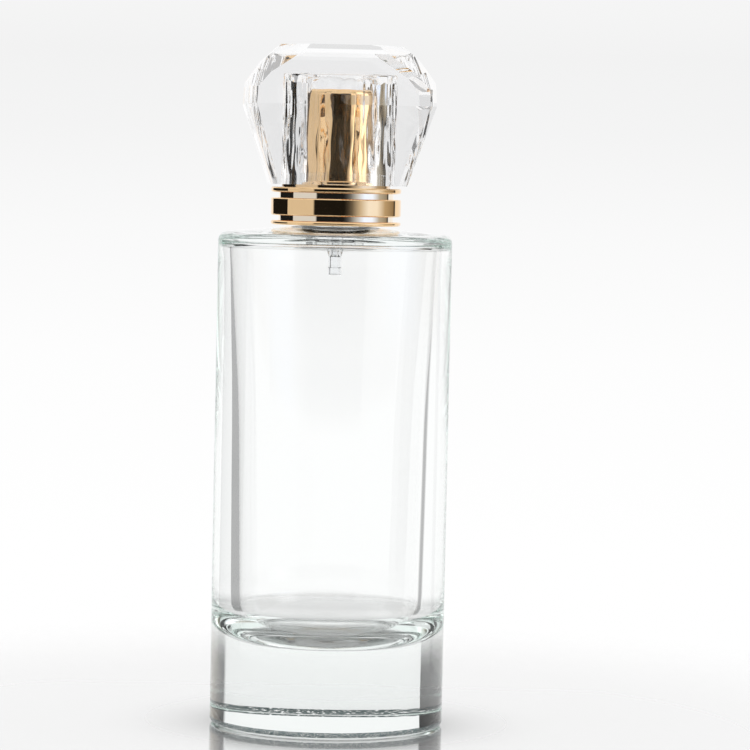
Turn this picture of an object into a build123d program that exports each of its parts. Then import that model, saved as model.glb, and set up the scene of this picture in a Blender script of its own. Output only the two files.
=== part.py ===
from build123d import *
import os
from math import atan2, cos, radians, sin, tan

os.makedirs("parts", exist_ok=True)

# Perfume bottle, millimetres. Origin at the centre of the foot, +Z up the bottle's axis.
# -Y is the front; the spray leaves towards +Y.

# ---- driving dimensions -------------------------------------------------------------
BOTTLE_RADIUS = 25.0
SHOULDER_EDGE_Z = 105.1          # top of the cylinder wall, before its rounding
SHOULDER_TOP_Z = 106.9           # where the shoulder's shallow cone meets the neck
CEILING_Z = 103.2                # inside of the shoulder
FLOOR_Z = 17.0                   # inside floor of the bottle; the foot below it is solid glass
FLOOR_CORNER_RADIUS = 9.0
WALL_RADIUS_LOW = 18.9           # inside radius just above the floor's corner
WALL_RADIUS_WAIST = 19.9         # inside radius where the wall starts to thin towards the top
WALL_WAIST_Z = 66.0
WALL_RADIUS_HIGH = 22.4          # inside radius under the shoulder
PUNT_DEPTH = 0.8                 # hollow under the foot, inside the bearing ring
BEARING_RING_INNER = 22.2

NECK_RADIUS = 6.7
NECK_BORE_RADIUS = 4.65
BEAD_RADIUS = 7.5                # crimp bead of a 15 mm finish
BEAD_LOW_Z = 110.4
FINISH_Z = 113.5                 # sealing land at the top of the glass

GASKET_THICKNESS = 0.8
FLANGE_THICKNESS = 1.15          # pump flange that the gasket seals against
FERRULE_GAUGE = 0.4
TURRET_TOP_Z = 119.15            # top of the ferrule's raised middle
TURRET_RADIUS = 4.15

COLLAR_RADIUS = 13.9
COLLAR_BORE_RADIUS = 10.7
COLLAR_LOW_Z = 107.0
COLLAR_HIGH_Z = 115.0
GROOVE_RADIUS = 12.3
SPIGOT_RADIUS = 11.55            # low rim that the cap grips
SPIGOT_TOP_Z = 116.8

CHAMBER_RADIUS = 2.82            # pump cylinder
CHAMBER_FLOOR_Z = 107.9
PUMP_BODY_RADIUS = 3.7
PUMP_BODY_LOW_Z = 106.6
TAIL_RADIUS_HIGH = 1.78
TAIL_RADIUS_LOW = 1.435
TAIL_LOW_Z = 95.7
TAIL_BORE_RADIUS = 0.875         # dip tube socket
STEM_RADIUS = 1.25
STEM_LOW_Z = 114.6
STEM_TOP_Z = 127.3
STROKE = 4.0                     # 4.0 mm over the 5.64 mm chamber gives 0.10 ml a stroke
RUNNING_GAP = 0.04
BALL_RADIUS = 1.0

SHELL_RADIUS = 10.2
SHELL_GAUGE = 0.4
SHELL_LOW_Z = 113.2
SHELL_TOP_Z = 135.7
NOZZLE_Z = 129.6
NOZZLE_RADIUS = 2.1
ORIFICE_RADIUS = 0.15

CAP_LOW_Z = 115.6
CAP_GIRDLE_Z = 132.4             # widest level
CAP_TOP_Z = 144.9
CAP_FACE_REACH = 19.3            # centre to the front or back face
CAP_MOUTH_REACH = 14.1           # centre to each side at the mouth
CAP_PROFILE = [(12.9, CAP_TOP_Z), (16.3, 141.8), (19.35, 137.3), (19.6, CAP_GIRDLE_Z)]
CAP_FACE_OUTLINE = [(7.7, 143.9), (12.1, 141.0), (15.4, 138.8), (17.8, 135.9), (18.1, CAP_GIRDLE_Z)]
CAP_CORNER_DEPTHS = [6.0, 6.0, 3.6, 2.0]   # how far back each corner facet runs
CAP_BORE_RADIUS = 12.07
CAP_BORE_TOP_Z = 139.0
LINER_RADIUS = 11.65
LINER_TOP_Z = 118.6


# ---- helpers ------------------------------------------------------------------------
def outline(*corners):
    """Closed face in XZ. A corner is (radius, z) or (radius, z, rounding); roundings are arcs."""
    points = [Vector(c[0], 0, c[1]) for c in corners]
    edges, first, last = [], None, None
    for i, corner in enumerate(corners):
        here, before, after = points[i], points[i - 1], points[(i + 1) % len(points)]
        enter = leave = here
        if len(corner) == 3:
            to_before, to_after = (before - here).normalized(), (after - here).normalized()
            half = radians(to_before.get_angle(to_after)) / 2
            enter = here + to_before * (corner[2] / tan(half))
            leave = here + to_after * (corner[2] / tan(half))
            centre = here + (to_before + to_after).normalized() * (corner[2] / sin(half))
            middle = centre + (here - centre).normalized() * corner[2]
        if last is None:
            first = enter
        elif (enter - last).length > 1e-6:
            edges.append(Line(last, enter))
        if len(corner) == 3:
            edges.append(ThreePointArc(enter, middle, leave))
        last = leave
    edges.append(Line(last, first))
    return make_face(edges)


def turned(*corners):
    """Solid of revolution about Z from an outline."""
    return revolve(outline(*corners), Axis.Z)


def ring(inner, outer, low, high):
    """Plain ring between two radii and two heights."""
    return turned((inner, low), (outer, low), (outer, high), (inner, high))


def rod(radius, low, high):
    """Cylinder on the axis."""
    return Pos(0, 0, low) * Cylinder(radius, high - low, align=(Align.CENTER, Align.CENTER, Align.MIN))


def rod_along_y(radius, near, far, z):
    """Cylinder pointing to +Y at height z."""
    plane = Plane(origin=(0, near, z), z_dir=(0, 1, 0))
    return plane * Cylinder(radius, far - near, align=(Align.CENTER, Align.CENTER, Align.MIN))


def save(name, shape):
    export_step(shape, f"parts/{name}.step")


# ---- glass --------------------------------------------------------------------------
def glass_bottle():
    """Thick-footed cylinder with a crimp neck; the wall thickens downwards."""
    return turned(
        (0, PUNT_DEPTH),
        (BEARING_RING_INNER - 1.6, PUNT_DEPTH, 1.0),
        (BEARING_RING_INNER, 0, 0.5),
        (BOTTLE_RADIUS, 0, 1.2),
        (BOTTLE_RADIUS, SHOULDER_EDGE_Z, 1.8),
        (NECK_RADIUS, SHOULDER_TOP_Z, 0.8),
        (NECK_RADIUS, BEAD_LOW_Z, 0.3),
        (BEAD_RADIUS, BEAD_LOW_Z, 0.6),
        (BEAD_RADIUS, FINISH_Z, 0.7),
        (NECK_BORE_RADIUS, FINISH_Z, 0.3),
        (NECK_BORE_RADIUS, CEILING_Z + 0.4, 0.9),
        (WALL_RADIUS_HIGH, CEILING_Z, 1.3),
        (WALL_RADIUS_WAIST, WALL_WAIST_Z, 400),
        (WALL_RADIUS_LOW, FLOOR_Z + 0.9, FLOOR_CORNER_RADIUS),
        (0, FLOOR_Z),
    )


# ---- closure on the neck ------------------------------------------------------------
def neck_gasket():
    return ring(NECK_BORE_RADIUS + 0.1, BEAD_RADIUS - 0.1, FINISH_Z, FINISH_Z + GASKET_THICKNESS)


def crimp_ferrule():
    """Aluminium mounting cup: skirt, edge crimped under the bead, and a raised turret."""
    skirt = BEAD_RADIUS + 0.05
    shelf = FINISH_Z + GASKET_THICKNESS + FLANGE_THICKNESS
    gauge = FERRULE_GAUGE
    return turned(
        (NECK_RADIUS + 0.3, BEAD_LOW_Z - 0.75),
        (skirt + gauge, BEAD_LOW_Z - 0.75, 0.35),
        (skirt + gauge, shelf + gauge, 0.6),
        (TURRET_RADIUS, shelf + gauge, 0.3),
        (TURRET_RADIUS, TURRET_TOP_Z, 0.6),
        (STEM_RADIUS + 0.55, TURRET_TOP_Z),
        (STEM_RADIUS + 0.55, TURRET_TOP_Z - gauge),
        (TURRET_RADIUS - gauge, TURRET_TOP_Z - gauge, 0.2),
        (TURRET_RADIUS - gauge, shelf),
        (skirt, shelf, 0.3),
        (skirt, BEAD_LOW_Z - 0.35),
        (NECK_RADIUS + 0.3, BEAD_LOW_Z - 0.35),
    )


def collar_insert():
    """Plastic carrier: snaps under the ferrule's crimped edge and holds the metal collar."""
    inner = BEAD_RADIUS + FERRULE_GAUGE + 0.1
    outer = 9.3
    return turned(
        (inner - 0.55, BEAD_LOW_Z - 1.8),
        (outer, BEAD_LOW_Z - 2.8),
        (COLLAR_BORE_RADIUS, BEAD_LOW_Z - 2.8),
        (COLLAR_BORE_RADIUS, BEAD_LOW_Z - 2.2),
        (outer, BEAD_LOW_Z - 2.2),
        (outer, COLLAR_HIGH_Z - 0.4, 0.3),
        (inner, COLLAR_HIGH_Z - 0.4),
        (inner, BEAD_LOW_Z - 0.8),
        (inner - 0.55, BEAD_LOW_Z - 0.95),
    )


def collar_shell():
    """Turned aluminium collar: thin flanges and a wide band, parted by two grooves."""
    low, high, wall, groove = COLLAR_LOW_Z, COLLAR_HIGH_Z, COLLAR_RADIUS, GROOVE_RADIUS
    return turned(
        (COLLAR_BORE_RADIUS - 1.2, low),
        (wall, low, 0.35),
        (wall, low + 0.9, 0.35),
        (groove, low + 0.9),
        (groove, low + 2.0),
        (wall, low + 2.0, 0.25),
        (wall, low + 5.7, 0.25),
        (groove, low + 5.7),
        (groove, low + 6.9),
        (wall, low + 6.9, 0.3),
        (wall, high, 0.3),
        (SPIGOT_RADIUS, high),
        (SPIGOT_RADIUS, SPIGOT_TOP_Z, 0.3),
        (COLLAR_BORE_RADIUS, SPIGOT_TOP_Z, 0.2),
        (COLLAR_BORE_RADIUS, low + 0.6),
        (COLLAR_BORE_RADIUS - 1.2, low + 0.6),
    )


# ---- pump ---------------------------------------------------------------------------
def pump_housing():
    """Clear body: flange on the gasket, cylinder, ball seat and the tail."""
    flange_low = FINISH_Z + GASKET_THICKNESS
    flange_high = flange_low + FLANGE_THICKNESS
    outer = turned(
        (0, TAIL_LOW_Z),
        (TAIL_RADIUS_LOW, TAIL_LOW_Z, 0.15),
        (TAIL_RADIUS_LOW, 99.9),
        (TAIL_RADIUS_HIGH, 101.3),
        (2.95, 101.6),
        (2.95, 102.0),
        (TAIL_RADIUS_HIGH, 102.0),
        (TAIL_RADIUS_HIGH, PUMP_BODY_LOW_Z),
        (PUMP_BODY_RADIUS, PUMP_BODY_LOW_Z, 0.5),
        (PUMP_BODY_RADIUS, flange_low),
        (BEAD_RADIUS - 0.1, flange_low),
        (BEAD_RADIUS - 0.1, flange_high, 0.35),
        (PUMP_BODY_RADIUS, flange_high),
        (PUMP_BODY_RADIUS, TURRET_TOP_Z - 1.65),
        (0, TURRET_TOP_Z - 1.65),
    )
    pocket = BALL_RADIUS + 0.25
    hollow = turned(
        (0, TAIL_LOW_Z - 1),
        (TAIL_BORE_RADIUS + 0.12, TAIL_LOW_Z - 1),
        (TAIL_BORE_RADIUS + 0.12, TAIL_LOW_Z + 1.4),
        (TAIL_BORE_RADIUS, TAIL_LOW_Z + 1.6),
        (TAIL_BORE_RADIUS, 99.7),
        (0.55, 100.3),
        (0.55, 105.9),
        (pocket, 106.7),
        (pocket, CHAMBER_FLOOR_Z),
        (CHAMBER_RADIUS, CHAMBER_FLOOR_Z),
        (CHAMBER_RADIUS, TURRET_TOP_Z),
        (0, TURRET_TOP_Z),
    )
    return outer - hollow


def inlet_ball():
    """Steel ball resting on the conical seat above the tail."""
    seat_slope = atan2(106.7 - 105.9, BALL_RADIUS + 0.25 - 0.55)
    centre_z = 105.9 + BALL_RADIUS / cos(seat_slope) - 0.55 * sin(seat_slope) / cos(seat_slope) + 0.02
    return Pos(0, 0, centre_z) * Sphere(BALL_RADIUS)


def return_spring():
    """Wound wire between the chamber floor and the outlet valve."""
    wire, coil_radius, turns = 0.2, 2.25, 5.5
    low = CHAMBER_FLOOR_Z + wire + 0.03
    high = STEM_LOW_Z - 0.55 - wire - 0.03
    path = Pos(0, 0, low) * Helix((high - low) / turns, high - low, coil_radius)
    section = Plane(path @ 0, z_dir=path % 0) * Circle(wire)
    return sweep(section, path)


def outlet_valve():
    """Spring-loaded pin that closes the stem until the chamber is under pressure."""
    return turned(
        (0, STEM_LOW_Z - 1.3),
        (1.5, STEM_LOW_Z - 1.3, 0.3),
        (1.5, STEM_LOW_Z - 0.55),
        (2.45, STEM_LOW_Z - 0.55),
        (2.45, STEM_LOW_Z),
        (0.45, STEM_LOW_Z),
        (0, STEM_LOW_Z + 0.5),
    )


def piston():
    """Two-lip piston on the stem."""
    bore = CHAMBER_RADIUS - RUNNING_GAP
    return turned(
        (STEM_RADIUS, STEM_LOW_Z + 0.1),
        (bore - 0.45, STEM_LOW_Z + 0.1),
        (bore, STEM_LOW_Z + 0.1),
        (bore, STEM_LOW_Z + 0.7),
        (bore - 0.35, STEM_LOW_Z + 1.0),
        (bore - 0.35, STEM_LOW_Z + 1.5),
        (bore, STEM_LOW_Z + 1.8),
        (bore, STEM_LOW_Z + 2.3),
        (STEM_RADIUS, STEM_LOW_Z + 2.3),
    )


def stem():
    """Tube from the outlet valve up into the actuator."""
    tube = ring(0.5, STEM_RADIUS, STEM_LOW_Z, STEM_TOP_Z)
    return chamfer(tube.edges().group_by(Axis.Z)[-1].sort_by(SortBy.RADIUS)[-1], 0.25)


def stem_seal():
    top = TURRET_TOP_Z - 1.65
    return ring(STEM_RADIUS + 0.03, CHAMBER_RADIUS - 0.02, top - 0.5, top)


def stem_bushing():
    """Plastic guide under the turret's top."""
    low, high = TURRET_TOP_Z - 1.65, TURRET_TOP_Z - FERRULE_GAUGE - 0.05
    bore, outer = STEM_RADIUS + 0.05, TURRET_RADIUS - FERRULE_GAUGE - 0.03
    return turned((bore, low), (outer, low), (outer, high, 0.3), (bore, high))


# ---- actuator -----------------------------------------------------------------------
def actuator_core():
    """Plastic inside of the spray button: outer wall, stem socket and nozzle pocket."""
    wall = SHELL_RADIUS - SHELL_GAUGE - 0.02
    roof = SHELL_TOP_Z - SHELL_GAUGE - 0.02
    body = turned(
        (wall - 0.8, TURRET_TOP_Z + 1.4),
        (wall, TURRET_TOP_Z + 1.4),
        (wall, roof, 0.8),
        (0, roof),
        (0, roof - 1.3),
        (wall - 0.8, roof - 1.3, 0.6),
    )
    post = rod(3.2, TURRET_TOP_Z + STROKE + 0.4, roof - 1.0)
    boss = rod_along_y(NOZZLE_RADIUS + 0.9, 0, wall - 0.4, NOZZLE_Z)
    socket = rod(STEM_RADIUS + 0.02, TURRET_TOP_Z, STEM_TOP_Z + 0.1)
    duct = rod(0.5, STEM_TOP_Z, NOZZLE_Z + 0.5) + rod_along_y(0.5, 0, wall, NOZZLE_Z)
    pocket = rod_along_y(NOZZLE_RADIUS, 6.6, wall + 1, NOZZLE_Z)
    pin = rod_along_y(1.15, 6.0, 8.6, NOZZLE_Z) - rod_along_y(0.35, 5.9, 7.4, NOZZLE_Z)
    ports = [Pos(side * 0.9, 0, 0) * rod_along_y(0.2, 5.8, 6.8, NOZZLE_Z) for side in (-1, 1)]
    return body + post + boss - socket - duct - pocket + pin - ports


def nozzle_insert():
    """Swirl cup pressed into the core: thin face, orifice and a shallow cone."""
    axis_plane = Plane(origin=(0, 0, NOZZLE_Z), z_dir=(0, 1, 0))
    face_y = SHELL_RADIUS - 0.45
    cup = turned(
        (1.2, 6.65),
        (NOZZLE_RADIUS, 6.65),
        (NOZZLE_RADIUS, face_y, 0.2),
        (0.75, face_y),
        (ORIFICE_RADIUS, face_y - 0.5),
        (ORIFICE_RADIUS, 8.75),
        (1.2, 8.75),
    )
    return axis_plane * cup


def actuator_shell():
    """Anodised aluminium cup over the core, with a hole for the nozzle."""
    cup = turned(
        (SHELL_RADIUS - SHELL_GAUGE, SHELL_LOW_Z),
        (SHELL_RADIUS, SHELL_LOW_Z, 0.15),
        (SHELL_RADIUS, SHELL_TOP_Z, 1.2),
        (0, SHELL_TOP_Z),
        (0, SHELL_TOP_Z - SHELL_GAUGE),
        (SHELL_RADIUS - SHELL_GAUGE, SHELL_TOP_Z - SHELL_GAUGE, 0.8),
    )
    return cup - rod_along_y(NOZZLE_RADIUS + 0.15, 5, SHELL_RADIUS + 1, NOZZLE_Z)


# ---- cap ----------------------------------------------------------------------------
def cut(solid, point, normal):
    """Keep what lies behind the plane through point."""
    return split(solid, bisect_by=Plane(origin=point, z_dir=normal), keep=Keep.BOTTOM)


def cut_through(solid, first, second, third):
    """Cut along the plane through three points, keeping the cap's middle."""
    first, second, third = Vector(*first), Vector(*second), Vector(*third)
    normal = (second - first).cross(third - first)
    if normal.dot(Vector(0, 0, CAP_GIRDLE_Z) - first) > 0:
        normal = normal * -1
    return cut(solid, first, normal)


def faceted_block():
    """Square-plan gem: two big flat faces, stepped sides, and cut corners between them."""
    width, depth, mouth, girdle = CAP_PROFILE[-1][0], CAP_FACE_REACH, CAP_MOUTH_REACH, CAP_GIRDLE_Z
    block = Pos(0, 0, CAP_LOW_Z) * Box(2 * width, 2 * depth, CAP_TOP_Z - CAP_LOW_Z,
                                       align=(Align.CENTER, Align.CENTER, Align.MIN))
    side_lean = atan2(width - mouth, girdle - CAP_LOW_Z)
    face_lean = atan2(depth - mouth, girdle - CAP_LOW_Z)
    for face in (-1, 1):
        block = cut(block, (0, face * depth, girdle), (0, face * cos(face_lean), -sin(face_lean)))
        block = cut(block, (0, face * depth, CAP_FACE_OUTLINE[0][1]), (0, face * 0.6, 0.8))
    for side in (-1, 1):
        block = cut(block, (side * width, 0, girdle), (side * cos(side_lean), 0, -sin(side_lean)))
        for (r0, z0), (r1, z1) in zip(CAP_PROFILE, CAP_PROFILE[1:]):
            rise = atan2(r1 - r0, z0 - z1)
            block = cut(block, (side * r0, 0, z0), (side * cos(rise), 0, sin(rise)))
    for face in (-1, 1):
        for side in (-1, 1):
            inner = [(side * r, face * depth, z) for r, z in CAP_FACE_OUTLINE]
            outer = [(side * r, face * (depth - set_back), z)
                     for (r, z), set_back in zip(CAP_PROFILE, CAP_CORNER_DEPTHS)]
            for low, high, far in zip(inner, inner[1:], outer):
                block = cut_through(block, low, high, far)
            foot = (side * (mouth - 1.2), face * mouth, CAP_LOW_Z)
            block = cut_through(block, inner[-1], outer[-1], foot)
    return block


def faceted_cap():
    """Solid clear acrylic with one blind bore over the actuator."""
    bore = turned(
        (0, CAP_LOW_Z - 1),
        (CAP_BORE_RADIUS, CAP_LOW_Z - 1),
        (CAP_BORE_RADIUS, CAP_BORE_TOP_Z, 0.5),
        (0, CAP_BORE_TOP_Z),
    )
    return faceted_block() - bore


def cap_liner():
    """Clear ring bonded in the cap's mouth; it grips the collar's rim."""
    return ring(LINER_RADIUS, CAP_BORE_RADIUS, COLLAR_HIGH_Z + 0.05, LINER_TOP_Z)


PIECES = [
    glass_bottle, neck_gasket, crimp_ferrule, collar_insert, collar_shell,
    pump_housing, inlet_ball, return_spring, outlet_valve, piston, stem, stem_seal, stem_bushing,
    actuator_core, nozzle_insert, actuator_shell, faceted_cap, cap_liner,
]

for piece in PIECES:
    save(piece.__name__, piece())
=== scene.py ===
from math import cos, pi, radians, sin, tan

import bpy
import bmesh
from mathutils import Matrix, Vector, noise


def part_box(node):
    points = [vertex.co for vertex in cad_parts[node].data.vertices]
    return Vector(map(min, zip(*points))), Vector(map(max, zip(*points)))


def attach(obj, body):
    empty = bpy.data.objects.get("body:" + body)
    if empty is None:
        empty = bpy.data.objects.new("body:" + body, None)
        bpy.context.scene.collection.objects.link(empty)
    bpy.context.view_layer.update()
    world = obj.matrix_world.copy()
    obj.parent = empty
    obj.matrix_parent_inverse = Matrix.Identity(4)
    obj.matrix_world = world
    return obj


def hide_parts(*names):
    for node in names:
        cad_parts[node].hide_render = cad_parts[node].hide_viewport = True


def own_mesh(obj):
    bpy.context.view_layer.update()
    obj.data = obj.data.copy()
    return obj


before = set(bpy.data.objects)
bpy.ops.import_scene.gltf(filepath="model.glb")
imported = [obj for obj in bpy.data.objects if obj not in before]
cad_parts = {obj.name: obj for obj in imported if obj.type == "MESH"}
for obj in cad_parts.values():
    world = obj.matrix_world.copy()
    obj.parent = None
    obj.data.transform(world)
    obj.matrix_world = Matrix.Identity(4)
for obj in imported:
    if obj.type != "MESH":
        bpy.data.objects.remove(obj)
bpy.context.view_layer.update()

MM = 0.001
scene = bpy.context.scene


def in_mm(metres):
    """A frame length in millimetres, to the nearest micrometre."""
    return round(metres / MM, 3)


def grey(value):
    return (value, value, value, 1.0)


def rgb(red, green, blue):
    return (red, green, blue, 1.0)


# ---- sizes from the frame --------------------------------------------------------------
_, GLASS_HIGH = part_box("glass_bottle")
COLLAR_LOW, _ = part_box("collar_shell")
CAP_LOW, CAP_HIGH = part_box("faceted_cap")
BOTTLE_RADIUS = GLASS_HIGH.y

# ---- camera: a long lens a little left of the front --------------------------------------
CAMERA_AZIMUTH = radians(-3.7)
CAMERA_DISTANCE = 0.7715
CAMERA_HEIGHT = 0.1194
CAMERA_LENS = 173.2
CAMERA_SENSOR = 36.0
CAMERA_PITCH = radians(-3.285)
CAMERA_YAW = radians(-0.675)
CAMERA_ROLL = radians(1.2)
CAMERA_CLIP = (0.01, 10.0)

# ---- bottle glass, in millimetres ----------------------------------------------------------
GLASS_RADIUS = in_mm(GLASS_HIGH.x)
NECK_TOP_Z = in_mm(GLASS_HIGH.z)
# Corners as (radius, height) or (radius, height, rounding), from the middle of the foot, up
# the outside, over the neck and down the inside.
GLASS_CORNERS = [
    (0, 0.8), (20.6, 0.8, 1.0), (22.2, 0, 0.5),                         # hollow under the foot
    (GLASS_RADIUS, 0, 1.2), (GLASS_RADIUS, 105.1, 1.8),                 # wall and shoulder
    (6.7, 106.9, 0.8), (6.7, 110.4, 0.3),                               # neck
    (7.5, 110.4, 0.6), (7.5, NECK_TOP_Z, 0.7),                          # bead
    (4.65, NECK_TOP_Z, 0.3), (4.65, 103.6, 0.9),                        # mouth
    (22.4, 103.2, 1.3), (19.9, 66, 400), (18.9, 17.9, 9.0), (0, 17),    # cavity
]
GLASS_CORNER_STEPS = 12
GLASS_LONGEST_STEP = 3.0
GLASS_SEGMENTS = 256
HEEL_INNER_RADIUS = 22.6
HEEL_MIDDLE_Z = 1.05
HEEL_HALF_HEIGHT = 0.55

# ---- collar, in millimetres ----------------------------------------------------------------
GROOVE_INNER_RADIUS = 12.2
GROOVE_OUTER_RADIUS = 13.2
BRIGHT_CUT_HEIGHT = 7.2             # above the foot of the collar
LIP_CORNERS = [(6.95, 107.1, 0.1), (9.45, 107.1, 0.1), (9.45, 107.5, 0.1), (6.95, 107.5, 0.1)]
LIP_CORNER_STEPS = 3
LIP_SEGMENTS = 96

# ---- cap, in millimetres: how far its facets reach from the axis, and their heights ----------
CAP_LOW_Z = in_mm(CAP_LOW.z)
CAP_GIRDLE_Z = 132.4
CAP_TOP_Z = in_mm(CAP_HIGH.z)
CAP_SIDE_REACH = in_mm(CAP_HIGH.x)
CAP_FACE_REACH = in_mm(CAP_HIGH.y)
CAP_MOUTH_REACH = 14.1
CAP_MOUTH_CORNER = 1.2              # how far the corner facets run in along the mouth
CAP_SIDE_PROFILE = [(12.9, CAP_TOP_Z), (16.3, 141.8), (19.35, 137.3),
                    (CAP_SIDE_REACH, CAP_GIRDLE_Z)]
CAP_FACE_OUTLINE = [(7.7, 143.9), (12.1, 141.0), (15.4, 138.8), (17.8, 135.9),
                    (18.1, CAP_GIRDLE_Z)]
CAP_CORNER_DEPTHS = [6.0, 6.0, 3.6, 2.0]
CAP_FACE_BEVELS = [(0.3, 0.8, 0.6), (0.9, 0.97, 0.24)]  # drop below the outline's top, normal
BORE_RADIUS = 12.07
BORE_TOP_Z = 139.0
BORE_ROUNDING = 0.5
BORE_CORNER_STEPS = 6
BORE_RINGS_PER_MM = 2
BORE_SEGMENTS = 240
RIPPLE_LOW_Z, RIPPLE_LOW_FADE = 118.5, 3
RIPPLE_TOP_Z, RIPPLE_TOP_FADE = 138.6, 1.5
RIPPLE_ACROSS = 6.0
RIPPLE_UP = 0.075
RIPPLE_DEPTH = 0.26
RIPPLE_FINER = 2.3
RIPPLE_FINER_SHARE = 0.5

# ---- floor ---------------------------------------------------------------------------------
FLOOR_RADIUS = 0.18
FLOOR_SEGMENTS = 128
FLOOR_DROP = 0.02 * MM              # keeps the table's face off the foot's
FLOOR_SHADE_RADIUS = 2.2 * BOTTLE_RADIUS
FLOOR_FADE_START = 0.45 * FLOOR_RADIUS
FLOOR_FADE_END = 0.98 * FLOOR_RADIUS

# ---- studio --------------------------------------------------------------------------------
# Stops are (degrees, brightness or colour). Elevations are above the horizon. Turns are round
# the bottle, from the camera's side and positive to the right.
BACKDROP = [(-6, 1.0), (-3, 0.985), (-1, 0.95), (0.6, 0.905), (1.8, 0.89), (2.5, 0.91),
            (4, 0.93), (8, 0.85), (14, 0.83)]
LEFT_CARD = [(-97, 1.0), (-95, 0.75), (-41, 0.75), (-38, 0.012)]
RIGHT_EDGE = [(125, 0.04), (128, 0.04), (131, 1.0)]
CARDS_LEVEL = LEFT_CARD + [
    (15, 0.012), (22, 0.06), (29, 0.16), (44, rgb(0.64, 0.66, 0.68)),
    (60, rgb(1.0, 1.18, 1.55)), (78, rgb(1.0, 1.15, 1.45)), (97, rgb(0.52, 0.48, 0.40)),
    (123, rgb(0.30, 0.25, 0.18))] + RIGHT_EDGE
CARDS_ABOVE = LEFT_CARD + [
    (35, 0.012), (47, 0.9), (57, 2.2), (71, 2.2), (87, rgb(0.52, 0.48, 0.40)),
    (105, rgb(0.30, 0.25, 0.18))] + RIGHT_EDGE
CARDS_BELOW = [(121, 1.0), (124, 0.42), (128, 0.42), (131, 1.0)]
ABOVE_START, ABOVE_FULL = 1.2, 3.5
BELOW_START, BELOW_FULL = -2.0, -3.0
HORIZON = [(0, 1.0), (9.84, 1.0), (10.32, 0.15), (12.48, 0.15), (12.96, 0.8), (24, 0.8)]
HORIZON_PAST_TURN = 131
TABLE_WITHIN_TURN = 75
TABLE_START, TABLE_FULL = -12, -16
TABLE_BRIGHTNESS = 0.03
FLAG_HAZE = [(-8, 0.45), (-6.68, 0.42), (-6.52, 0.10), (-5.6, 0.07), (-3.2, 0.02),
             (-1.6, 0.012), (0, 0.012)]
FLAG_FRONT_TURN = -95
FLAG_BACK_TURN, FLAG_BACK_TURN_TILTED = -149, -137.5
FLAG_TILT_START, FLAG_TILT_FULL = 0.5, 2.0
BARE_START, BARE_FULL = 3, 5
CARDS_TOP, CARDS_GONE = 24, 30
CEILING_BRIGHTNESS = 0.95
BOUNCES = 128


class Graph:
    """Short hand for a node tree."""

    def __init__(self, tree):
        self.tree = tree
        tree.nodes.clear()

    def add(self, kind, inputs=None, **settings):
        node = self.tree.nodes.new(kind)
        for name, value in settings.items():
            setattr(node, name, value)
        for name, value in (inputs or {}).items():
            self.put(node.inputs[name], value)
        return node

    def put(self, socket, value):
        if isinstance(value, bpy.types.NodeSocket):
            self.tree.links.new(value, socket)
        else:
            socket.default_value = value

    def math(self, operation, *values):
        node = self.add("ShaderNodeMath", operation=operation)
        for socket, value in zip(node.inputs, values):
            self.put(socket, value)
        return node.outputs[0]

    def remap(self, value, low, high, to_low=0.0, to_high=1.0, smooth=False):
        kind = "SMOOTHSTEP" if smooth else "LINEAR"
        node = self.add("ShaderNodeMapRange", interpolation_type=kind)
        for socket, number in zip(node.inputs, (value, low, high, to_low, to_high)):
            self.put(socket, number)
        return node.outputs[0]

    def mix(self, factor, first, second):
        node = self.add("ShaderNodeMix", data_type="RGBA")
        self.put(node.inputs["Factor"], factor)
        self.put(node.inputs["A"], first)
        self.put(node.inputs["B"], second)
        return node.outputs["Result"]

    def noise(self, scale, detail, vector):
        """Noise between 0 and 1; a scale of 1000 has features about a millimetre across."""
        inputs = {"Scale": scale, "Detail": detail, "Vector": vector}
        return self.add("ShaderNodeTexNoise", inputs).outputs["Fac"]

    def bump(self, height, distance, strength=1.0):
        inputs = {"Height": height, "Distance": distance, "Strength": strength}
        return self.add("ShaderNodeBump", inputs).outputs["Normal"]

    def by_angle(self, angle, stops):
        """Colour at an angle in radians, from (degrees, brightness or colour) stops."""
        low, high = stops[0][0], stops[-1][0]
        share = self.remap(angle, radians(low), radians(high))
        node = self.add("ShaderNodeValToRGB", {"Fac": share})
        elements = node.color_ramp.elements
        for i, (degrees, colour) in enumerate(stops):
            place = (degrees - low) / (high - low)
            element = elements[i] if i < len(elements) else elements.new(place)
            element.position = place
            element.color = colour if isinstance(colour, tuple) else grey(colour)
        return node.outputs["Color"]

    def share_by_angle(self, angle, start, full):
        """0 up to the angle where something starts, 1 from where it is full, in degrees."""
        return self.remap(angle, radians(start), radians(full))


# ---- materials -----------------------------------------------------------------------------
def material(name):
    """A material, its graph with a Principled shader, and its object coordinates."""
    made = bpy.data.materials.new(name)
    made.use_nodes = True
    graph = Graph(made.node_tree)
    graph.output = graph.add("ShaderNodeOutputMaterial")
    shader = graph.add("ShaderNodeBsdfPrincipled")
    graph.put(graph.output.inputs["Surface"], shader.outputs[0])
    place = graph.add("ShaderNodeTexCoord").outputs["Object"]
    return made, graph, shader, place


def put_all(graph, shader, **values):
    for name, value in values.items():
        graph.put(shader.inputs[name.replace("_", " ")], value)


def feeding(shader, name):
    """The socket that feeds one of the shader's inputs."""
    return shader.inputs[name].links[0].from_socket


def radius_and_height(graph, place):
    """Distance from the object's axis, and height."""
    x, y, z = graph.add("ShaderNodeSeparateXYZ", {"Vector": place}).outputs
    square = graph.math("ADD", graph.math("POWER", x, 2.0), graph.math("POWER", y, 2.0))
    return graph.math("SQRT", square), z


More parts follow.
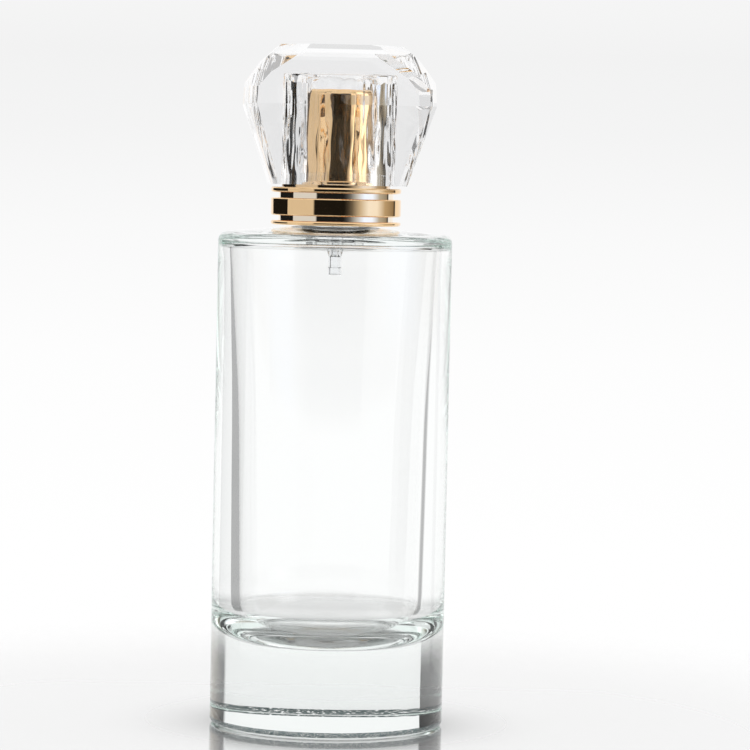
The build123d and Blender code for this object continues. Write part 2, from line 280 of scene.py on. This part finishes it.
def clear(name, ior, tint, tint_low, wave, depth_colour=None, depth_density=0.0):
    """Clear glass or plastic: faint tint changes, slight haze and a slow waviness."""
    made, graph, shader, place = material(name)
    slow = graph.noise(90.0, 1.0, place)
    fine = graph.noise(900.0, 3.0, place)
    put_all(graph, shader,
            Base_Color=graph.mix(slow, tint_low, tint),
            Roughness=graph.remap(fine, 0.62, 0.8, 0.0, 0.02),
            Normal=graph.bump(slow, wave),
            Transmission_Weight=1.0,
            IOR=ior)
    if depth_colour:
        inputs = {"Color": depth_colour, "Density": depth_density}
        inside = graph.add("ShaderNodeVolumeAbsorption", inputs)
        graph.put(graph.output.inputs["Volume"], inside.outputs[0])
    return made, graph, shader, place


def bottle_glass():
    """Flint glass with a greenish depth, a stippled heel, and painted shade as dark specks low on
    the heel.
    """
    made, graph, shader, place = clear(
        "bottle_glass", 1.52, rgb(1.0, 1.0, 1.0), rgb(0.995, 1.0, 0.998), wave=4e-6,
        depth_colour=rgb(0.62, 0.90, 0.80), depth_density=2.0)
    radius, height = radius_and_height(graph, place)
    low = graph.math("COMPARE", height, HEEL_MIDDLE_Z * MM, HEEL_HALF_HEIGHT * MM)
    outer = graph.math("GREATER_THAN", radius, HEEL_INNER_RADIUS * MM)
    heel = graph.math("MULTIPLY", low, outer)
    grain = graph.noise(4200.0, 2.0, place)
    # Painted shade: dark, less clear specks in a band low on the heel; the stipple bump itself is
    # surface texture.
    painted_heel_shade = graph.math("MULTIPLY", heel, graph.remap(grain, 0.30, 0.50))
    stipple = graph.bump(grain, 3e-6, heel)
    graph.put(stipple.node.inputs["Normal"], feeding(shader, "Normal"))
    put_all(graph, shader,
            Base_Color=graph.mix(painted_heel_shade, feeding(shader, "Base Color"), rgb(0.07, 0.11, 0.11)),
            Transmission_Weight=graph.remap(painted_heel_shade, 0.0, 1.0, 1.0, 0.3),
            Normal=stipple)
    return made


def turned_metal(name, colour, colour_low, rough, ring_height):
    """Polished metal with fine lathe rings about Z and cloudy roughness."""
    made, graph, shader, place = material(name)
    flat = graph.add("ShaderNodeMapping", {"Vector": place, "Scale": (60.0, 60.0, 9000.0)})
    rings = graph.noise(1.0, 2.0, flat.outputs[0])
    cloud = graph.noise(240.0, 3.0, place)
    put_all(graph, shader,
            Base_Color=graph.mix(cloud, colour_low, colour),
            Roughness=graph.remap(cloud, 0.3, 0.7, rough * 0.7, rough * 1.3),
            Normal=graph.bump(rings, ring_height),
            Metallic=1.0)
    return made, graph, shader, place


def gold(name):
    return turned_metal(name, rgb(0.95, 0.665, 0.37), rgb(0.90, 0.625, 0.345), 0.03, 4e-7)


def grooved_gold():
    """Gold with the grooves and edges cut back to bright aluminium."""
    made, graph, shader, place = gold("gold_collar_bright_cut")
    radius, height = radius_and_height(graph, place)
    inside = graph.math("LESS_THAN", radius, GROOVE_OUTER_RADIUS * MM)
    outside = graph.math("GREATER_THAN", radius, GROOVE_INNER_RADIUS * MM)
    below = graph.math("LESS_THAN", height, COLLAR_LOW.z + BRIGHT_CUT_HEIGHT * MM)
    bright = graph.math("MULTIPLY", graph.math("MULTIPLY", inside, outside), below)
    base = feeding(shader, "Base Color")
    put_all(graph, shader, Base_Color=graph.mix(bright, base, rgb(0.92, 0.82, 0.68)))
    return made


def moulded(name, colour, colour_low, rough, subsurface=0.0):
    """Moulded plastic or rubber."""
    made, graph, shader, place = material(name)
    cloud = graph.noise(300.0, 3.0, place)
    grain = graph.noise(6000.0, 2.0, place)
    put_all(graph, shader,
            Base_Color=graph.mix(cloud, colour_low, colour),
            Roughness=graph.remap(cloud, 0.3, 0.7, rough * 0.8, rough * 1.2),
            Normal=graph.bump(grain, 4e-6),
            Subsurface_Weight=subsurface,
            Subsurface_Radius=(0.002, 0.002, 0.002))
    return made


# ---- meshes --------------------------------------------------------------------------------
def put_material(obj, made):
    obj.data.materials.clear()
    obj.data.materials.append(made)


def add_object(name, bm):
    """An object in the scene, made from a bmesh that isn't needed any more."""
    mesh = bpy.data.meshes.new(name)
    bm.to_mesh(mesh)
    bm.free()
    obj = bpy.data.objects.new(name, mesh)
    scene.collection.objects.link(obj)
    return obj


def arc_corner(before, here, after, rounding, steps):
    """Points of the arc that rounds a corner of an outline."""
    back, ahead = (before - here).normalized(), (after - here).normalized()
    half = back.angle(ahead) / 2
    reach = rounding / tan(half)
    centre = here + (back + ahead).normalized() * (rounding / sin(half))
    start, stop = here + back * reach - centre, here + ahead * reach - centre
    total = start.angle(stop)
    points = []
    for i in range(steps + 1):
        start_share = sin((1 - i / steps) * total) / sin(total)
        stop_share = sin(i / steps * total) / sin(total)
        points.append(centre + start * start_share + stop * stop_share)
    return points


def outline(corners, steps):
    """Points of an outline from its (radius, z) or (radius, z, rounding) corners."""
    points = []
    plain = [Vector(corner[:2]) for corner in corners]
    for i, corner in enumerate(corners):
        if len(corner) == 2:
            points.append(plain[i])
        else:
            after = plain[(i + 1) % len(plain)]
            points += arc_corner(plain[i - 1], plain[i], after, corner[2], steps)
    return points


def lathe(name, points, segments):
    """Closed smooth mesh from an outline in millimetres, turned about Z."""
    turns = [2 * pi * k / segments for k in range(segments)]
    bm = bmesh.new()
    rings = []
    for p in points:
        if p.x < 1e-6:
            rings.append([bm.verts.new((0, 0, p.y * MM))])
        else:
            rings.append([bm.verts.new((p.x * cos(a) * MM, p.x * sin(a) * MM, p.y * MM))
                          for a in turns])
    for low, high in zip(rings, rings[1:]):
        for k in range(segments):
            j = (k + 1) % segments
            if len(low) == 1:
                bm.faces.new((low[0], high[j], high[k]))
            elif len(high) == 1:
                bm.faces.new((low[k], low[j], high[0]))
            else:
                bm.faces.new((low[k], low[j], high[j], high[k]))
    bmesh.ops.remove_doubles(bm, verts=bm.verts, dist=1e-7)
    bmesh.ops.recalc_face_normals(bm, faces=bm.faces)
    obj = add_object(name, bm)
    obj.data.shade_smooth()
    return obj


def glass_body():
    """The bottle's glass: the CAD piece's outline, turned finer and with rounded corners."""
    points = outline(GLASS_CORNERS, GLASS_CORNER_STEPS)
    fine = []
    for a, b in zip(points, points[1:]):
        steps = max(1, int((b - a).length / GLASS_LONGEST_STEP))
        fine += [a.lerp(b, i / steps) for i in range(steps)]
    fine.append(points[-1])
    obj = lathe("glass_body", fine, GLASS_SEGMENTS)
    put_material(obj, bottle_glass())
    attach(obj, "bottle")
    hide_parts("glass_bottle")


# ---- faceted cap, in millimetres -----------------------------------------------------------
def cut(bm, point, normal):
    """Trim the block to what lies behind the plane, and close it."""
    block = bm.verts[:] + bm.edges[:] + bm.faces[:]
    made = bmesh.ops.bisect_plane(bm, geom=block, plane_co=point, plane_no=normal,
                                  dist=1e-5, clear_outer=True)
    rim = [item for item in made["geom_cut"] if isinstance(item, bmesh.types.BMEdge)]
    if rim:
        bmesh.ops.contextual_create(bm, geom=rim)


def cut_through(bm, first, second, third):
    """Trim along the plane through three points, keeping the cap's middle."""
    first, second, third = Vector(first), Vector(second), Vector(third)
    normal = (second - first).cross(third - first)
    if normal.dot(Vector((0, 0, CAP_GIRDLE_Z)) - first) > 0:
        normal.negate()
    cut(bm, first, normal)


def faceted_block():
    """Square-plan gem: two big flat faces, stepped sides, and cut corners between them."""
    width, depth, mouth = CAP_SIDE_REACH, CAP_FACE_REACH, CAP_MOUTH_REACH
    skirt = CAP_GIRDLE_Z - CAP_LOW_Z
    tall = CAP_TOP_Z - CAP_LOW_Z
    bm = bmesh.new()
    bmesh.ops.create_cube(bm, size=1.0,
                          matrix=Matrix.Translation((0, 0, CAP_LOW_Z + tall / 2))
                          @ Matrix.Diagonal((2 * width, 2 * depth, tall, 1)))
    for face in (-1, 1):
        cut(bm, (0, face * depth, CAP_GIRDLE_Z), (0, face * skirt, mouth - depth))
        for drop, out, up in CAP_FACE_BEVELS:
            cut(bm, (0, face * depth, CAP_FACE_OUTLINE[0][1] - drop), (0, face * out, up))
    for side in (-1, 1):
        cut(bm, (side * width, 0, CAP_GIRDLE_Z), (side * skirt, 0, mouth - width))
        for (r0, z0), (r1, z1) in zip(CAP_SIDE_PROFILE, CAP_SIDE_PROFILE[1:]):
            cut(bm, (side * r0, 0, z0), (side * (z0 - z1), 0, r1 - r0))
    for face in (-1, 1):
        for side in (-1, 1):
            inner = [(side * r, face * depth, z) for r, z in CAP_FACE_OUTLINE]
            outer = [(side * r, face * (depth - set_back), z)
                     for (r, z), set_back in zip(CAP_SIDE_PROFILE, CAP_CORNER_DEPTHS)]
            for low, high, far in zip(inner, inner[1:], outer):
                cut_through(bm, low, high, far)
            foot = (side * (mouth - CAP_MOUTH_CORNER), face * mouth, CAP_LOW_Z)
            cut_through(bm, inner[-1], outer[-1], foot)
    return bm


def bore_ripple(z, angle):
    """The moulded bore is uneven: tall narrow waves that die out at both ends."""
    fade = max(0.0, min(1.0, (z - RIPPLE_LOW_Z) / RIPPLE_LOW_FADE,
                        (RIPPLE_TOP_Z - z) / RIPPLE_TOP_FADE))
    place = Vector((cos(angle) * RIPPLE_ACROSS, sin(angle) * RIPPLE_ACROSS, z * RIPPLE_UP))
    finer = RIPPLE_FINER_SHARE * noise.noise(place * RIPPLE_FINER)
    return fade * RIPPLE_DEPTH * (noise.noise(place) + finer)


def bore_ring(bm, radius, z):
    ring = []
    for k in range(BORE_SEGMENTS):
        angle = 2 * pi * k / BORE_SEGMENTS
        reach = radius + bore_ripple(z, angle)
        ring.append(bm.verts.new((reach * cos(angle), reach * sin(angle), z)))
    return ring


def cap_crystal():
    """The cap's clear block: the CAD piece, with steeper face bevels and a rippled bore."""
    bm = faceted_block()
    mouth = min(bm.faces, key=lambda face: face.calc_center_median().z)
    rim = list(mouth.edges)
    bmesh.ops.delete(bm, geom=[mouth], context="FACES_ONLY")
    side = outline([(0, BORE_TOP_Z), (BORE_RADIUS, BORE_TOP_Z, BORE_ROUNDING),
                    (BORE_RADIUS, CAP_LOW_Z)], BORE_CORNER_STEPS)
    wall_top = side[-2].y
    steps = int(wall_top - CAP_LOW_Z) * BORE_RINGS_PER_MM
    levels = [(p.x, p.y) for p in side[1:-1]]
    levels += [(BORE_RADIUS, wall_top + (CAP_LOW_Z - wall_top) * k / steps)
               for k in range(1, steps + 1)]
    rings = [bore_ring(bm, radius, z) for radius, z in levels]
    bm.faces.new(rings[0])
    for high, low in zip(rings, rings[1:]):
        for k in range(BORE_SEGMENTS):
            j = (k + 1) % BORE_SEGMENTS
            bm.faces.new((high[k], high[j], low[j], low[k])).smooth = True
    foot = rings[-1]
    hole = [bm.edges.get((foot[k], foot[(k + 1) % BORE_SEGMENTS])) for k in range(BORE_SEGMENTS)]
    bmesh.ops.triangle_fill(bm, use_beauty=True, edges=rim + hole)
    bmesh.ops.recalc_face_normals(bm, faces=bm.faces)
    bmesh.ops.scale(bm, vec=(MM, MM, MM), verts=bm.verts)
    obj = add_object("cap_crystal", bm)
    acrylic = clear("cap_acrylic", 1.49, rgb(1.0, 1.0, 1.0), rgb(0.992, 0.994, 1.0), wave=1e-6)
    put_material(obj, acrylic[0])
    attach(obj, "cap")
    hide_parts("faceted_cap")


# ---- the other pieces ----------------------------------------------------------------------
def collar_lip(white):
    """Thin plastic lip that closes the foot of the collar round the neck."""
    points = outline(LIP_CORNERS, LIP_CORNER_STEPS)
    obj = lathe("collar_lip", points + points[:1], LIP_SEGMENTS)
    put_material(obj, white)
    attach(obj, "bottle")


def pressed_spring(steel):
    """The return spring, copied from its CAD node onto the bottle."""
    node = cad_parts["return_spring"]
    obj = bpy.data.objects.new("coil_spring", node.data.copy())
    scene.collection.objects.link(obj)
    obj.matrix_world = node.matrix_world.copy()
    put_material(obj, steel)
    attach(obj, "bottle")
    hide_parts("return_spring")
    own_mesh(obj)


def dress_nodes():
    """Materials of the CAD nodes, and two small pieces that share them."""
    plastic = clear("natural_plastic", 1.49, rgb(0.97, 0.975, 0.98), rgb(0.94, 0.95, 0.96),
                    wave=4e-6)[0]
    white = moulded("white_moulding", rgb(0.82, 0.82, 0.80), rgb(0.76, 0.76, 0.74),
                    rough=0.4, subsurface=0.15)
    rubber = moulded("gasket_rubber", rgb(0.10, 0.10, 0.10), rgb(0.06, 0.06, 0.06), rough=0.6)
    steel = turned_metal("spring_steel", rgb(0.62, 0.61, 0.60), rgb(0.5, 0.49, 0.48),
                         rough=0.2, ring_height=1e-6)[0]
    aluminium = turned_metal("bare_aluminium", rgb(0.91, 0.90, 0.88), rgb(0.84, 0.83, 0.81),
                             rough=0.18, ring_height=3e-6)[0]
    looks = {
        "cap_liner": plastic, "pump_housing": plastic,
        "actuator_shell": gold("gold_button")[0], "collar_shell": grooved_gold(),
        "crimp_ferrule": aluminium, "inlet_ball": steel, "return_spring": steel,
        "neck_gasket": rubber, "stem_seal": rubber,
    }
    for name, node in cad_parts.items():
        put_material(node, looks.get(name, white))
    collar_lip(white)
    pressed_spring(steel)


# ---- stage ---------------------------------------------------------------------------------
def floor():
    """Pale glossy table, with a painted contact shadow close to the bottle, that fades into the
    backdrop.
    """
    bm = bmesh.new()
    bmesh.ops.create_circle(bm, cap_ends=True, segments=FLOOR_SEGMENTS, radius=FLOOR_RADIUS)
    obj = add_object("floor", bm)
    obj.location.z = -FLOOR_DROP
    made, graph, shader, place = material("pale_table")
    cloud = graph.noise(12.0, 3.0, place)
    length = graph.add("ShaderNodeVectorMath", {"Vector": place}, operation="LENGTH")
    reach = length.outputs["Value"]
    # Painted contact shadow: the table's colour turns grey towards the bottle's foot.
    near = graph.math("POWER", graph.remap(reach, FLOOR_SHADE_RADIUS, BOTTLE_RADIUS), 3.0)
    put_all(graph, shader,
            Base_Color=graph.mix(near, graph.mix(cloud, grey(0.93), grey(0.95)), grey(0.5)),
            Roughness=graph.remap(cloud, 0.3, 0.7, 0.04, 0.08),
            IOR=1.9,
            Metallic=0.5)
    fade = graph.remap(reach, FLOOR_FADE_START, FLOOR_FADE_END, smooth=True)
    gone = graph.add("ShaderNodeBsdfTransparent")
    both = graph.add("ShaderNodeMixShader")
    for socket, value in zip(both.inputs, (fade, shader.outputs[0], gone.outputs[0])):
        graph.put(socket, value)
    graph.put(graph.output.inputs["Surface"], both.outputs[0])
    put_material(obj, made)


def cards_met(graph, turn, elevation, through):
    """The light and dark cards round the bottle, as a mirrored ray meets them."""
    level, above, below = [graph.by_angle(turn, [(-180, 1.0)] + stops + [(180, 1.0)])
                           for stops in (CARDS_LEVEL, CARDS_ABOVE, CARDS_BELOW)]
    cards = graph.mix(graph.share_by_angle(elevation, ABOVE_START, ABOVE_FULL), level, above)
    cards = graph.mix(graph.share_by_angle(elevation, BELOW_START, BELOW_FULL), cards, below)
    # Through the glass, the back shows a dark band a little above the horizon.
    aside = graph.math("ABSOLUTE", turn)
    behind = graph.math("GREATER_THAN", aside, radians(HORIZON_PAST_TURN))
    horizon = graph.by_angle(elevation, HORIZON)
    cards = graph.mix(graph.math("MULTIPLY", through, behind), cards, horizon)
    # The front edge of the table is dark.
    ahead = graph.math("LESS_THAN", aside, radians(TABLE_WITHIN_TURN))
    low = graph.share_by_angle(elevation, TABLE_START, TABLE_FULL)
    return graph.mix(graph.math("MULTIPLY", ahead, low), cards, grey(TABLE_BRIGHTNESS))


def flag_share(graph, turn, elevation):
    """1 where the dark flag stands, at the back left; it is wider near the horizon."""
    tilt = graph.math("ABSOLUTE", elevation)
    edge = graph.remap(tilt, radians(FLAG_TILT_START), radians(FLAG_TILT_FULL),
                       radians(FLAG_BACK_TURN), radians(FLAG_BACK_TURN_TILTED))
    past_back = graph.math("LESS_THAN", turn, edge)
    past_front = graph.math("GREATER_THAN", turn, radians(FLAG_FRONT_TURN))
    return graph.math("SUBTRACT", 1.0, graph.math("MAXIMUM", past_back, past_front))


def studio():
    """White surroundings, with cards and a flag that only mirrored rays meet."""
    world = bpy.data.worlds.new("studio")
    scene.world = world
    world.use_nodes = True
    graph = Graph(world.node_tree)
    output = graph.add("ShaderNodeOutputWorld")
    light = graph.add("ShaderNodeBackground", {"Strength": 1.0})
    graph.put(output.inputs["Surface"], light.outputs[0])
    direction = graph.add("ShaderNodeTexCoord").outputs["Generated"]
    x, y, z = graph.add("ShaderNodeSeparateXYZ", {"Vector": direction}).outputs
    azimuth = graph.math("ARCTAN2", x, graph.math("MULTIPLY", y, -1.0))
    turn = graph.math("WRAP", graph.math("SUBTRACT", azimuth, CAMERA_AZIMUTH), pi, -pi)
    elevation = graph.math("ARCSINE", z)
    path = graph.add("ShaderNodeLightPath").outputs
    through = graph.math("GREATER_THAN", path["Transmission Depth"], 0.5)

    cards = cards_met(graph, turn, elevation, through)
    flag = flag_share(graph, turn, elevation)
    cards = graph.mix(flag, cards, graph.by_angle(elevation, FLAG_HAZE))
    # Rays that haven't gone through glass, such as the table's reflections, see white instead
    # above the horizon.
    bare = graph.math("MULTIPLY", graph.math("SUBTRACT", 1.0, through),
                      graph.share_by_angle(elevation, BARE_START, BARE_FULL))
    cards = graph.mix(bare, cards, grey(1.0))
    under = graph.remap(elevation, radians(CARDS_TOP), radians(CARDS_GONE), 1.0, 0.0, smooth=True)
    room = graph.mix(under, grey(CEILING_BRIGHTNESS), cards)

    glossy = graph.math("GREATER_THAN", path["Glossy Depth"], 0.5)
    mirrored = graph.math("MULTIPLY", glossy, graph.math("LESS_THAN", path["Diffuse Depth"], 0.5))
    backdrop = graph.by_angle(elevation, BACKDROP)
    graph.put(light.inputs["Color"], graph.mix(mirrored, backdrop, room))


def camera():
    data = bpy.data.cameras.new("camera")
    data.sensor_width = CAMERA_SENSOR
    data.lens = CAMERA_LENS
    data.clip_start, data.clip_end = CAMERA_CLIP
    obj = bpy.data.objects.new("camera", data)
    scene.collection.objects.link(obj)
    scene.camera = obj
    place = Vector((CAMERA_DISTANCE * sin(CAMERA_AZIMUTH),
                    -CAMERA_DISTANCE * cos(CAMERA_AZIMUTH), CAMERA_HEIGHT))
    turn = (Matrix.Rotation(CAMERA_AZIMUTH + CAMERA_YAW, 4, "Z")
            @ Matrix.Rotation(pi / 2 + CAMERA_PITCH, 4, "X")
            @ Matrix.Rotation(CAMERA_ROLL, 4, "Z"))
    obj.matrix_world = Matrix.Translation(place) @ turn


def light_bounces():
    """Clear pieces inside clear pieces need long paths."""
    scene.cycles.max_bounces = BOUNCES
    scene.cycles.transmission_bounces = BOUNCES
    scene.cycles.glossy_bounces = BOUNCES
    scene.view_settings.view_transform = "Standard"


dress_nodes()
glass_body()
cap_crystal()
floor()
studio()
camera()
light_bounces()
